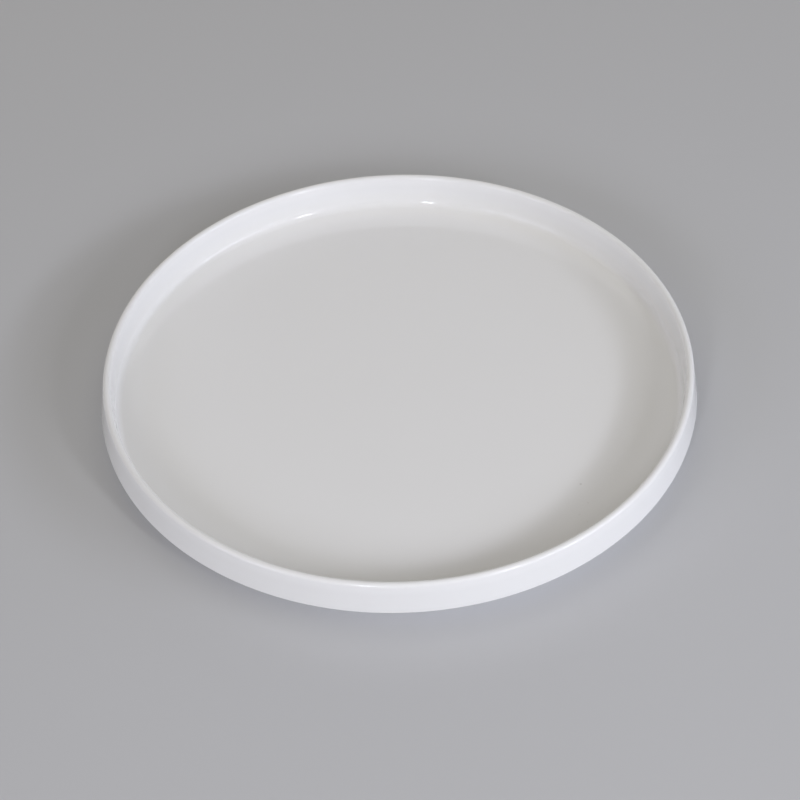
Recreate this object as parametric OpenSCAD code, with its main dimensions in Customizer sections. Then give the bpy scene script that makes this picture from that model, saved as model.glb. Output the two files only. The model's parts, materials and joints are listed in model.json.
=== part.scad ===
// Evaporating dish: a wide, flat dish of glazed porcelain with a low, straight wall.
//
// +Z is up. The origin is the centre of the foot ring, on the plane that the dish stands on.
// The dish is one fired porcelain body under a thin skin of glaze. The glaze is in two separate
// areas, because none is left on the foot ring's contact band.

/* [Size] */
// Diameter at the widest place, the lower edge of the wall
dish_d = 250; // [200:5:320]
// Height from the table to the top of the lip
dish_h = 23.4; // [21:0.2:32]

/* [Wall and lip] */
// Thickness of the wall at the lip, which is rounded all the way over
lip_t = 3.35; // [2.6:0.05:4.2]
// How far in the outside of the wall leans, from its lower edge to the lip
outer_lean = 1.8; // [0.4:0.1:3]
// How far in the inside of the wall leans, from the lip down to the corner
inner_lean = 0.65; // [0:0.05:1.5]
// Height of the wall's lower edge above the table
edge_h = 9.3; // [8.4:0.1:10.4]
// Radius of the wall's lower edge
edge_r = 0.75; // [0.5:0.05:1.2]

/* [Floor] */
// Depth from the top of the lip to the floor
depth = 14.9; // [12:0.1:15.4]
// Thickness of the floor
floor_t = 4.7; // [4:0.1:5]
// Radius of the corner between the floor and the wall
corner_r = 3; // [2:0.1:5]

/* [Underside] */
// How far in the foot ring stands from the widest place
foot_inset = 9.3; // [8.6:0.1:12]
// Width of the foot ring at its root
foot_w = 3.4; // [3:0.1:6]
// Radius of the foot ring's two lower edges
foot_edge_r = 1; // [0.8:0.05:1.2]
// How far in the inside of the foot ring leans, from its root to its lower edge
foot_lean = 0.3; // [0:0.05:0.6]
// Radius of the hollow sweep from the foot ring out to the wall's lower edge
flank_r = 17; // [15:0.5:30]
// Radius of the corner between the foot ring and the underside of the floor
well_corner_r = 2.4; // [1.6:0.1:2.8]

/* [Glaze] */
// Thickness of the glaze
glaze_t = 0.3; // [0.15:0.05:0.4]
// Height above the table up to which the glaze is wiped off the foot ring
wipe_h = 1; // [0.8:0.05:1.3]

/* [Hidden] */
$fn = 180;
porcelain = [0.95, 0.94, 0.92];
glaze = [0.88, 0.88, 0.89];

// Neighbouring stretches of the outline overlap by this much, so that they cross and don't just touch
seam = 0.0002;
floor_z = dish_h - depth;
well_z = floor_z - floor_t;
lip_r = lip_t / 2;
inner_wall_x = -outer_lean - lip_t - inner_lean;
foot_in_x = -foot_inset - foot_w;

// The rounds of the wall's section, each as [x, z, radius]. x is measured from the widest place, so
// it is negative towards the axis. A hollow round, which is cut into the porcelain, has a negative
// radius. They run from the underside of the floor, out and up round the wall, and over the lip.
well = [foot_in_x - well_corner_r, well_z - well_corner_r, -well_corner_r];
foot_in = [foot_in_x + foot_edge_r + foot_lean, foot_edge_r - glaze_t, foot_edge_r];
foot_out = [-foot_inset - foot_edge_r, foot_edge_r - glaze_t, foot_edge_r];
edge = [-edge_r, edge_h + edge_r, edge_r];
flank = hollow_between(foot_out, edge, flank_r);
lip = [-outer_lean - lip_r, dish_h - lip_r, lip_r];
corner = [inner_wall_x - corner_r, floor_z + corner_r, -corner_r];
ROUNDS = [well, foot_in, foot_out, flank, edge, lip, corner];

// The hollow round of radius r that touches rounds a and b from outside, to the right of the way
// from a to b.
function hollow_between(a, b, r) =
    let (d = [b.x - a.x, b.y - a.y])
    let (to_a = a.z + r - 2 * seam)
    let (to_b = b.z + r - 2 * seam)
    let (turn = acos((norm(d) ^ 2 + to_a ^ 2 - to_b ^ 2) / (2 * norm(d) * to_a)))
    let (way = atan2(d.y, d.x) - turn)
    [a.x + to_a * cos(way), a.y + to_a * sin(way), -r];

// Where the outline leaves round a and where it meets round b: the ends of the straight line that
// touches both. Rounds that touch each other share one point.
function bridge(a, b) =
    let (d = [b.x - a.x, b.y - a.y])
    let (from_a = a.z - seam * sign(a.z))
    let (from_b = b.z - seam * sign(b.z))
    let (turn = acos(max(-1, min(1, (from_a - from_b) / norm(d)))))
    let (way = atan2(d.y, d.x) - turn)
    let (n = [cos(way), sin(way)])
    [[a.x, a.y] + from_a * n, [b.x, b.y] + from_b * n];

// Half of the dish's section, with its whole outline moved in by inset. Every radius, counted with
// its sign, shrinks by the inset, so the straight stretches stay parallel and all joins stay smooth.
module section(inset) {
    rounds = [for (r = ROUNDS) [r.x, r.y, r.z - inset]];
    last = len(rounds) - 1;
    outline = [
        [-dish_d / 2, well_z + inset - seam],
        [well.x, well_z + inset - seam],
        for (k = [1:last]) each bridge(rounds[k - 1], rounds[k]),
        [corner.x, floor_z - inset + seam],
        [-dish_d / 2, floor_z - inset + seam]
    ];
    difference() {
        polygon(outline);
        for (r = rounds)
            if (r.z < 0)
                translate([r.x, r.y]) circle(-r.z);
    }
    for (r = rounds)
        if (r.z > 0)
            translate([r.x, r.y]) circle(r.z);
}

// The skin of glaze, with the foot ring wiped clean up to wipe_h.
module glaze_section() {
    difference() {
        section(0);
        section(glaze_t);
        translate([-dish_d / 2, -dish_h]) square([dish_d / 2, dish_h + wipe_h]);
    }
}

// Everything inside the foot ring, up to the middle of the floor.
module well_zone() {
    middle_z = well_z + floor_t / 2;
    translate([-dish_d / 2, 0]) square([dish_d / 2 + foot_in_x + foot_w / 2, middle_z]);
}

// Turns a section, drawn from the widest place, about the dish's axis.
module turned() {
    rotate_extrude() translate([dish_d / 2, 0]) children();
}

// The fired body: floor, wall, lip, flank and foot ring in one piece.
module porcelain_body() {
    color(porcelain) turned() section(glaze_t);
}

// Glaze over the inside, the lip, the outside of the wall and the flank.
module glaze_coat() {
    color(glaze) turned() difference() {
        glaze_section();
        well_zone();
    }
}

// Glaze on the underside, inside the foot ring.
module foot_well_glaze() {
    color(glaze) turned() intersection() {
        glaze_section();
        well_zone();
    }
}

porcelain_body();
glaze_coat();
foot_well_glaze();
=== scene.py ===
"""Evaporating dish: a wide, flat, straight-walled dish of glazed porcelain.

The dish is drawn as one outline: from the underside of its floor, round the foot ring, up the
wall, over the lip and down to the floor. The fired body and the two areas of glaze are turned from
stretches of that outline. Lengths are in metres, and heights are above the table.
"""
import json
import math

import bmesh
import bpy
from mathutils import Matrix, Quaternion, Vector, noise


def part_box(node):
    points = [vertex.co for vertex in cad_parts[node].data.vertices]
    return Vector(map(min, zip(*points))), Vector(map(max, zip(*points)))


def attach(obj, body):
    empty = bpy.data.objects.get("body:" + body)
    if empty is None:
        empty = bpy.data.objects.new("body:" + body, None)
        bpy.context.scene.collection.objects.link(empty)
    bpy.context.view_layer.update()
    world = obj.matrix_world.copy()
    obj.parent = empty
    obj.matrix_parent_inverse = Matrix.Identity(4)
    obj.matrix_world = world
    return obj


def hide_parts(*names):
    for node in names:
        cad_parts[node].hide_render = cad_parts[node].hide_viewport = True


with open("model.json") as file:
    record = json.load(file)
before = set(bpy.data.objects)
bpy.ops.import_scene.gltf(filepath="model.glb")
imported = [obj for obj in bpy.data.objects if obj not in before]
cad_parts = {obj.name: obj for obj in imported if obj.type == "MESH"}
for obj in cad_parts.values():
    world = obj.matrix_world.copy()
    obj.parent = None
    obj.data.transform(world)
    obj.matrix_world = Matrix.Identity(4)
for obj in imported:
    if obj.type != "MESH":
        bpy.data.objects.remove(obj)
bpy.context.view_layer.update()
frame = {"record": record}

MM = 0.001

# What the frame says.
body_low, body_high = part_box("porcelain_body")
coat_low, coat_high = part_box("glaze_coat")
mounts = {mount["name"]: mount for mount in frame["record"]["mounts"]}
WIDEST = coat_high.x
TOP = coat_high.z
GLAZE = coat_high.x - body_high.x
WIPE_LINE = coat_low.z
FLOOR = mounts["floor"]["pos_m"][2]

# The section's own dimensions, as in the CAD model.
LIP_RADIUS = 1.675 * MM
OUTER_LEAN = 1.8 * MM
INNER_LEAN = 0.65 * MM
EDGE_HEIGHT = 9.3 * MM
EDGE_RADIUS = 0.75 * MM
FLOOR_THICKNESS = 4.7 * MM
CORNER_RADIUS = 3.0 * MM
FOOT_INSET = 9.3 * MM
FOOT_WIDTH = 3.4 * MM
FOOT_LEAN = 0.3 * MM
FOOT_EDGE_RADIUS = 1.0 * MM
FLANK_RADIUS = 17.0 * MM
WELL_CORNER_RADIUS = 2.4 * MM
WELL = FLOOR - FLOOR_THICKNESS

# How finely the pieces are turned.
SIDES = 256
ARC_STEP = math.radians(7.5)
STRAIGHT_STEP = 1.5 * MM
DISC_STEP = 3.0 * MM
BEAD_STEPS = 6
NO_LENGTH = 1e-9
ON_AXIS = 0.01 * MM
CLOSEST_STOPS = 0.01 * MM

# How the fired glaze departs from its true surface, always inwards.
WAVE_LENGTH = 38 * MM
WAVE_DEPTH = 0.05 * MM
FORMING_RING_SPACING = 19 * MM
FORMING_RING_DEPTH = 0.012 * MM
WIPE_WANDER = 0.3 * MM
WIPE_WANDER_LENGTH = 30 * MM
WIPE_WANDER_REACH = 2.5 * MM
POOL_REACH = 3.5 * MM

# Small dark marks in the floor's glaze, as (x, y, radius, darkness).
SPECKS = (
    (72.0 * MM, -59.5 * MM, 0.75 * MM, 0.22),
    (74.1 * MM, -70.0 * MM, 0.60 * MM, 0.09),
    (70.2 * MM, -76.2 * MM, 0.55 * MM, 0.08),
    (73.0 * MM, -80.1 * MM, 0.55 * MM, 0.07),
)

# Colours.
GLAZE_WHITE = (0.870, 0.870, 0.868, 1)
GLAZE_BRIGHT_WHITE = (0.885, 0.885, 0.885, 1)
POOLED_CREAM = (0.875, 0.873, 0.862, 1)
THIN_WHITE = (0.90, 0.90, 0.90, 1)
SPECK_BROWN = (0.25, 0.22, 0.18, 1)
BISCUIT_SHADE = (0.76, 0.735, 0.69, 1)
BISCUIT_LIGHT = (0.84, 0.825, 0.79, 1)
RUBBED_GREY = (0.42, 0.40, 0.37, 1)
PALE_GREY = (0.57, 0.575, 0.59, 1)
SOFT_SURROUND = (0.20, 0.192, 0.176, 1)

# Gloss, and the fine relief that is too small to model.
GLAZE_ROUGHNESS = (0.02, 0.045)
GLAZE_IOR = 1.52
THIN_GLAZE_DULLNESS = 0.13
PEEL_SIZE = 2.4 * MM
PEEL_DEPTH = 0.006 * MM
BISCUIT_ROUGHNESS = (0.6, 0.85)
GRAIN_SIZE = 0.35 * MM
GRAIN_DEPTH = 0.03 * MM
RUBBED_HEIGHT = (0.02 * MM, 0.25 * MM)

# The stage and its lights.
STAGE_RADIUS = 60 * WIDEST
LIGHT_DISTANCE = 12 * WIDEST
OVERHEAD_WIDTH = math.radians(90)
GRID_SPREAD = math.radians(90)


# ---------------------------------------------------------------- the outline

def make_rounds():
    """The section's rounds as (distance from the axis, height, radius). Hollow ones are negative."""
    foot_inside = WIDEST - FOOT_INSET - FOOT_WIDTH
    foot_outside = WIDEST - FOOT_INSET
    foot_height = FOOT_EDGE_RADIUS - GLAZE
    inner_wall = WIDEST - OUTER_LEAN - 2 * LIP_RADIUS - INNER_LEAN
    foot_outer = (foot_outside - FOOT_EDGE_RADIUS, foot_height, FOOT_EDGE_RADIUS)
    edge = (WIDEST - EDGE_RADIUS, EDGE_HEIGHT + EDGE_RADIUS, EDGE_RADIUS)
    return {
        "well": (foot_inside - WELL_CORNER_RADIUS, WELL - WELL_CORNER_RADIUS, -WELL_CORNER_RADIUS),
        "foot_inner": (foot_inside + FOOT_EDGE_RADIUS + FOOT_LEAN, foot_height, FOOT_EDGE_RADIUS),
        "foot_outer": foot_outer,
        "flank": hollow_between(foot_outer, edge, FLANK_RADIUS),
        "edge": edge,
        "lip": (WIDEST - OUTER_LEAN - LIP_RADIUS, TOP - LIP_RADIUS, LIP_RADIUS),
        "corner": (inner_wall - CORNER_RADIUS, FLOOR + CORNER_RADIUS, -CORNER_RADIUS),
    }


def hollow_between(a, b, radius):
    """The hollow round that touches rounds a and b from the right of the way from a to b."""
    along = Vector(b[:2]) - Vector(a[:2])
    to_a = a[2] + radius
    to_b = b[2] + radius
    turn = math.acos((along.length ** 2 + to_a ** 2 - to_b ** 2) / (2 * along.length * to_a))
    way = math.atan2(along.y, along.x) - turn
    return (a[0] + to_a * math.cos(way), a[1] + to_a * math.sin(way), -radius)


def bridge_angle(a, b):
    """The direction, seen from either centre, in which one straight line touches both rounds."""
    along = Vector(b[:2]) - Vector(a[:2])
    turn = math.acos(max(-1.0, min(1.0, (a[2] - b[2]) / along.length)))
    return math.atan2(along.y, along.x) - turn


def heading(angle):
    """The unit direction at this angle from the first axis."""
    return Vector((math.cos(angle), math.sin(angle)))


class Straight:
    """A straight stretch of the outline. angle is the direction out of the porcelain."""

    def __init__(self, start, end, angle, step):
        self.start, self.end, self.angle = start, end, angle
        self.length = (end - start).length
        self.count = math.ceil(self.length / step)

    def at(self, share):
        return self.start.lerp(self.end, share), heading(self.angle)


class Arc:
    """A stretch of the outline on a round, between the directions before and after."""

    def __init__(self, centre, radius, before, after):
        self.centre, self.radius, self.before = Vector(centre), radius, before
        self.turn = (after - before + math.pi) % (2 * math.pi) - math.pi
        self.length = abs(self.radius * self.turn)
        self.count = math.ceil(abs(self.turn) / ARC_STEP)

    def at(self, share):
        normal = heading(self.before + self.turn * share)
        return self.centre + self.radius * normal, normal


class Outline:
    """The whole section's outline. Places on it are distances along it from the underside's middle."""

    def __init__(self):
        rounds = make_rounds()
        order = list(rounds.values())
        down = -math.pi / 2
        up = math.pi / 2
        angles = [down, *map(bridge_angle, order, order[1:]), up]
        self.stretches = []
        self.spans = {}
        self.length = 0.0
        here = Vector((0.0, WELL))
        step = DISC_STEP
        for (name, (x, z, radius)), before, after in zip(rounds.items(), angles, angles[1:]):
            arc = Arc((x, z), radius, before, after)
            self.add(Straight(here, arc.at(0.0)[0], before, step))
            self.spans[name] = (self.length, self.length + arc.length)
            self.add(arc)
            here = arc.at(1.0)[0]
            step = STRAIGHT_STEP
        self.add(Straight(here, Vector((0.0, FLOOR)), up, DISC_STEP))
        self.hollow = {name for name in rounds if rounds[name][2] < 0}

    def add(self, stretch):
        """Adds a stretch, unless it has no length because two rounds touch."""
        if stretch.length > NO_LENGTH:
            self.stretches.append((self.length, stretch))
            self.length += stretch.length

    def at(self, place):
        """The point at a place, and the direction out of the porcelain there."""
        for begin, stretch in self.stretches:
            if place <= begin + stretch.length:
                break
        return stretch.at(min(1.0, max(0.0, (place - begin) / stretch.length)))

    def stops(self, first, last):
        """Places from first to last, close together on the rounds. They may run either way."""
        low, high = sorted((first, last))
        found = [
            begin + stretch.length * k / stretch.count
            for begin, stretch in self.stretches
            for k in range(stretch.count)
        ]
        inner = [place for place in found if low + CLOSEST_STOPS < place < high - CLOSEST_STOPS]
        found = [low, *inner, high]
        return found if first < last else found[::-1]

    def at_height(self, height, low, high):
        """The place where the outline passes a height, between a lower and a higher place."""
        for _ in range(40):
            middle = (low + high) / 2
            if self.at(middle)[0].y < height:
                low = middle
            else:
                high = middle
        return low

    def pooling(self, place):
        """How the melted glaze settled: 1 where it pools in hollows, -1 where it draws off edges."""
        total = 0.0
        for name, (start, end) in self.spans.items():
            away = max(start - place, place - end, 0.0)
            amount = math.exp(-((away / POOL_REACH) ** 2))
            total += amount if name in self.hollow else -amount
        return max(-1.0, min(1.0, total))


OUTLINE = Outline()


# ---------------------------------------------------------------- turned pieces

def on_circle(point, angle):
    """A point of the section, turned about the axis."""
    return Vector((point.x * math.cos(angle), point.x * math.sin(angle), point.y))


def unevenness(spot):
    """How far in the fired surface lies: slow waves, and the faint rings left by forming."""
    wave = 0.5 + 0.5 * noise.noise(spot / WAVE_LENGTH)
    ring = 0.5 + 0.5 * math.cos(2 * math.pi * spot.xy.length / FORMING_RING_SPACING)
    return WAVE_DEPTH * wave + FORMING_RING_DEPTH * ring


def body_surface(place, angle):
    """The fired body's surface, which lies one glaze thickness in from the outline."""
    point, normal = OUTLINE.at(place)
    return on_circle(point - normal * GLAZE, angle)


def glaze_surface(place, angle):
    """The glaze's outer surface."""
    point, normal = OUTLINE.at(place)
    depth = unevenness(on_circle(point, angle))
    return on_circle(point - normal * depth, angle)


def bead_surface(place, angle, inwards, roll):
    """The round end of the glaze at a wiped edge. roll goes from the body out to the surface."""
    point, normal = OUTLINE.at(place)
    ahead = Vector((-normal.y, normal.x)) * inwards
    half = GLAZE / 2
    middle = point - normal * half
    return on_circle(middle - half * (math.cos(roll) * normal + math.sin(roll) * ahead), angle)


def wiped_shift(angle):
    """How far the sponge's wiped edge strays from its line at one side of the dish."""
    spot = WIDEST / WIPE_WANDER_LENGTH * heading(angle).to_3d()
    return WIPE_WANDER * (0.5 + 0.5 * noise.noise(spot))


def turn_ring(surface, place):
    """One ring of points about the axis, or a single point on it."""
    first = surface(place, 0.0)
    if first.x < ON_AXIS:
        return [Vector((0.0, 0.0, first.z))]
    return [surface(place, 2 * math.pi * k / SIDES) for k in range(SIDES)]


def join_rings(mesh, low, high):
    """Faces between two neighbouring rings, either of which may be a single point."""
    for k in range(SIDES):
        corners = []
        for ring, picks in ((low, (k, k + 1)), (high, (k + 1, k))):
            corners += [ring[0]] if len(ring) == 1 else [ring[n % SIDES] for n in picks]
        mesh.faces.new(corners)


def make_piece(name, rings, pooling):
    """A closed piece from rings that start and end on the axis, with each one's pooling stored."""
    mesh = bmesh.new()
    made = [[mesh.verts.new(point) for point in ring] for ring in rings]
    for low, high in zip(made, made[1:]):
        join_rings(mesh, low, high)
    bmesh.ops.recalc_face_normals(mesh, faces=mesh.faces)
    for face in mesh.faces:
        face.smooth = True
    data = bpy.data.meshes.new(name)
    mesh.to_mesh(data)
    mesh.free()
    stored = data.attributes.new("pooling", "FLOAT", "POINT")
    stored.data.foreach_set("value", [amount for ring, amount in zip(rings, pooling) for _ in ring])
    piece = bpy.data.objects.new(name, data)
    bpy.context.collection.objects.link(piece)
    return piece


def make_body():
    """The fired body: floor, wall, lip, flank and foot ring, under the glaze."""
    rings = [turn_ring(body_surface, place) for place in OUTLINE.stops(0.0, OUTLINE.length)]
    return make_piece("porcelain_body_turned", rings, [0.0] * len(rings))


def make_glaze(name, edge, axis):
    """A skin of glaze from a wiped edge to the axis. Its own edge is drawn into a round bead."""
    inwards = 1 if axis > edge else -1
    start = edge + inwards * GLAZE / 2
    stops = OUTLINE.stops(start, axis)

    def strayed(surface, *more):
        def surface_at(place, angle):
            fade = max(0.0, 1.0 - abs(place - start) / WIPE_WANDER_REACH)
            return surface(place + inwards * wiped_shift(angle) * fade, angle, *more)
        return surface_at

    rolls = [math.pi * step / BEAD_STEPS for step in range(1, BEAD_STEPS)]
    rings = [turn_ring(strayed(body_surface), place) for place in stops[::-1]]
    rings += [turn_ring(strayed(bead_surface, inwards, roll), start) for roll in rolls]
    rings += [turn_ring(strayed(glaze_surface), place) for place in stops]
    places = stops[::-1] + [start] * len(rolls) + stops
    return make_piece(name, rings, [OUTLINE.pooling(place) for place in places])


# ---------------------------------------------------------------- materials

def new_material(name):
    """A node material, with its tree and its shader."""
    material = bpy.data.materials.new(name)
    material.use_nodes = True
    return material, material.node_tree, material.node_tree.nodes["Principled BSDF"]


def set_socket(tree, socket, value):
    """Feeds a socket from another node's output, or sets it to a number or colour."""
    if isinstance(value, bpy.types.NodeSocket):
        tree.links.new(value, socket)
    else:
        socket.default_value = value


def add_node(tree, kind, inputs=(), **settings):
    """A shader node of this kind, with its settings and inputs filled in."""
    node = tree.nodes.new("ShaderNode" + kind)
    for setting, value in settings.items():
        setattr(node, setting, value)
    for key, value in dict(inputs).items():
        set_socket(tree, node.inputs[key], value)
    return node


def noise_at(tree, spot, size, detail=2.0):
    """Noise from 0 to 1 whose features are about this size."""
    inputs = {"Vector": spot, "Scale": 1.0 / size, "Detail": detail}
    return add_node(tree, "TexNoise", inputs).outputs["Fac"]


def remap(tree, value, start, end, low, high, kind="LINEAR"):
    """A value that runs from start to end, stretched to run from low to high."""
    inputs = {"Value": value, "From Min": start, "From Max": end, "To Min": low, "To Max": high}
    return add_node(tree, "MapRange", inputs, interpolation_type=kind).outputs["Result"]


def blend(tree, factor, a, b):
    """Colour a, blended towards colour b."""
    node = add_node(tree, "Mix", data_type="RGBA")
    sockets = {socket.identifier: socket for socket in (*node.inputs, *node.outputs)}
    for key, value in (("Factor_Float", factor), ("A_Color", a), ("B_Color", b)):
        set_socket(tree, sockets[key], value)
    return sockets["Result_Color"]


def glaze_material():
    """Clear glaze over white porcelain: drifting white, a little cream where it pools, and gloss."""
    material, tree, shader = new_material("clear glaze on porcelain")
    spot = add_node(tree, "TexCoord").outputs["Object"]

    drift = noise_at(tree, spot, 45 * MM)
    color = blend(tree, drift, GLAZE_WHITE, GLAZE_BRIGHT_WHITE)
    pooled = add_node(tree, "Attribute", attribute_name="pooling").outputs["Fac"]
    cream = remap(tree, pooled, -0.2, 1.0, 0.0, 1.0, "SMOOTHSTEP")
    color = blend(tree, cream, color, POOLED_CREAM)
    thin = remap(tree, pooled, -1.0, -0.2, 1.0, 0.0, "SMOOTHSTEP")
    color = blend(tree, thin, color, THIN_WHITE)
    for x, y, radius, darkness in SPECKS:
        ends = {0: spot, 1: (x, y, FLOOR)}
        away = add_node(tree, "VectorMath", ends, operation="DISTANCE").outputs["Value"]
        inside = remap(tree, away, 0.3 * radius, radius, darkness, 0.0, "SMOOTHSTEP")
        color = blend(tree, inside, color, SPECK_BROWN)
    set_socket(tree, shader.inputs["Base Color"], color)

    haze = noise_at(tree, spot, 22 * MM)
    gloss = remap(tree, haze, 0.3, 0.7, *GLAZE_ROUGHNESS)
    dull = add_node(tree, "Math", {0: thin, 1: THIN_GLAZE_DULLNESS}, operation="MULTIPLY").outputs[0]
    rough = add_node(tree, "Math", {0: gloss, 1: dull}, operation="ADD").outputs[0]
    set_socket(tree, shader.inputs["Roughness"], rough)
    shader.inputs["IOR"].default_value = GLAZE_IOR

    peel = noise_at(tree, spot, PEEL_SIZE, detail=1.0)
    dimples = add_node(tree, "Bump", {"Height": peel, "Distance": PEEL_DEPTH})
    set_socket(tree, shader.inputs["Normal"], dimples.outputs["Normal"])
    return material


def biscuit_material():
    """Bare fired porcelain: matt, grainy, and greyed where the foot ring rubs on the table."""
    material, tree, shader = new_material("bare porcelain biscuit")
    spot = add_node(tree, "TexCoord").outputs["Object"]

    mottle = noise_at(tree, spot, 6 * MM, detail=4.0)
    color = blend(tree, mottle, BISCUIT_SHADE, BISCUIT_LIGHT)
    height = add_node(tree, "SeparateXYZ", {"Vector": spot}).outputs["Z"]
    contact = remap(tree, height, *RUBBED_HEIGHT, 1.0, 0.0, "SMOOTHSTEP")
    scuffs = remap(tree, noise_at(tree, spot, 1.5 * MM, detail=3.0), 0.35, 0.65, 0.1, 0.7)
    rub = add_node(tree, "Math", {0: contact, 1: scuffs}, operation="MULTIPLY").outputs[0]
    color = blend(tree, rub, color, RUBBED_GREY)
    set_socket(tree, shader.inputs["Base Color"], color)

    grain = noise_at(tree, spot, GRAIN_SIZE, detail=3.0)
    set_socket(tree, shader.inputs["Roughness"], remap(tree, grain, 0.2, 0.8, *BISCUIT_ROUGHNESS))
    bumps = add_node(tree, "Bump", {"Height": grain, "Distance": GRAIN_DEPTH})
    set_socket(tree, shader.inputs["Normal"], bumps.outputs["Normal"])
    return material


def stage_material():
    """The plain matt floor under the dish."""
    material, _, shader = new_material("pale floor")
    shader.inputs["Base Color"].default_value = PALE_GREY
    shader.inputs["Roughness"].default_value = 0.55
    shader.inputs["Specular IOR Level"].default_value = 0.3
    return material


# ---------------------------------------------------------------- stage, lights and camera

def make_stage():
    """A plain pale floor that runs out of sight."""
    mesh = bmesh.new()
    bmesh.ops.create_circle(mesh, cap_ends=True, segments=64, radius=STAGE_RADIUS)
    data = bpy.data.meshes.new("floor")
    mesh.to_mesh(data)
    mesh.free()
    data.materials.append(stage_material())
    floor = bpy.data.objects.new("floor", data)
    bpy.context.collection.objects.link(floor)


def direction(azimuth, elevation):
    """Azimuth is counted from +X towards +Y, and both are in degrees."""
    a = math.radians(azimuth)
    e = math.radians(elevation)
    return Vector((math.cos(a) * math.cos(e), math.sin(a) * math.cos(e), math.sin(e)))


def add_light(name, kind, azimuth, elevation, power, color):
    """A light that faces the dish. Its azimuth and elevation are as for direction()."""
    data = bpy.data.lights.new(name, kind)
    data.energy = power
    data.color = color
    light = bpy.data.objects.new(name, data)
    bpy.context.collection.objects.link(light)
    light.location = LIGHT_DISTANCE * direction(azimuth, elevation)
    light.rotation_mode = "QUATERNION"
    light.rotation_quaternion = (-light.location).to_track_quat("-Z", "Y")
    return data


def add_softbox(name, azimuth, elevation, power, color, width, height):
    """A rectangular light, in metres, with a grid that keeps its light off the floor beside it."""
    data = add_light(name, "AREA", azimuth, elevation, power, color)
    data.shape = "RECTANGLE"
    data.size = width
    data.size_y = height
    data.spread = GRID_SPREAD


def make_lights():
    """A wide warm light overhead, cooler softboxes round the dish, and three slim bright strips."""
    overhead = add_light("overhead", "SUN", -125, 70, 0.47, (1.0, 0.94, 0.79))
    overhead.angle = OVERHEAD_WIDTH
    add_softbox("right", -10, 22, 1.8, (0.755, 0.79, 1.0), 2.2, 0.8)
    add_softbox("left", -142, 25, 0.98, (0.805, 0.82, 1.0), 0.8, 0.5)
    add_softbox("behind", 95, 22, 1.0, (1.0, 1.0, 1.0), 2.4, 0.8)
    add_softbox("long strip", -28, 25, 1.35, (0.86, 0.90, 1.0), 0.9, 0.12)
    add_softbox("right strip", -55.8, 26, 1.0, (0.945, 0.95, 1.0), 0.15, 0.4)
    add_softbox("left strip", -104.2, 26, 0.78, (0.90, 0.92, 1.0), 0.11, 0.4)
    world = bpy.data.worlds.new("studio")
    bpy.context.scene.world = world
    world.use_nodes = True
    background = world.node_tree.nodes["Background"]
    background.inputs["Color"].default_value = SOFT_SURROUND


def make_camera():
    """A long lens from above the front, turned a little, with the dish just off its middle."""
    elevation = math.radians(44.906)
    roll = math.radians(-2.252)
    distance = 8.509 * WIDEST
    aim = Vector((0.0026, 0.0102, 0.0)) * WIDEST
    data = bpy.data.cameras.new("camera")
    data.sensor_width = 36.0
    data.lens = 112.97
    camera = bpy.data.objects.new("camera", data)
    bpy.context.collection.objects.link(camera)
    camera.location = distance * Vector((0.0, -math.cos(elevation), math.sin(elevation)))
    level = (aim - camera.location).to_track_quat("-Z", "Y")
    camera.rotation_mode = "QUATERNION"
    camera.rotation_quaternion = level @ Quaternion((0.0, 0.0, 1.0), roll)
    bpy.context.scene.camera = camera


def main():
    """Makes the three pieces, ties them to the frame, and sets up the studio."""
    spans = OUTLINE.spans
    inner_edge = OUTLINE.at_height(WIPE_LINE, spans["foot_inner"][1], spans["well"][1])
    outer_edge = OUTLINE.at_height(WIPE_LINE, spans["foot_outer"][0], spans["edge"][0])
    glaze = glaze_material()
    pieces = (
        (make_body(), "porcelain_body", "biscuit", biscuit_material()),
        (make_glaze("glaze_coat_fired", outer_edge, OUTLINE.length), "glaze_coat", "glaze", glaze),
        (make_glaze("foot_well_glaze_fired", inner_edge, 0.0), "foot_well_glaze", "glaze", glaze),
    )
    for piece, node, slot, material in pieces:
        piece.data.materials.append(material)
        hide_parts(node)
        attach(piece, "root")
    make_stage()
    make_lights()
    make_camera()
    bpy.context.scene.view_settings.view_transform = "Standard"


main()
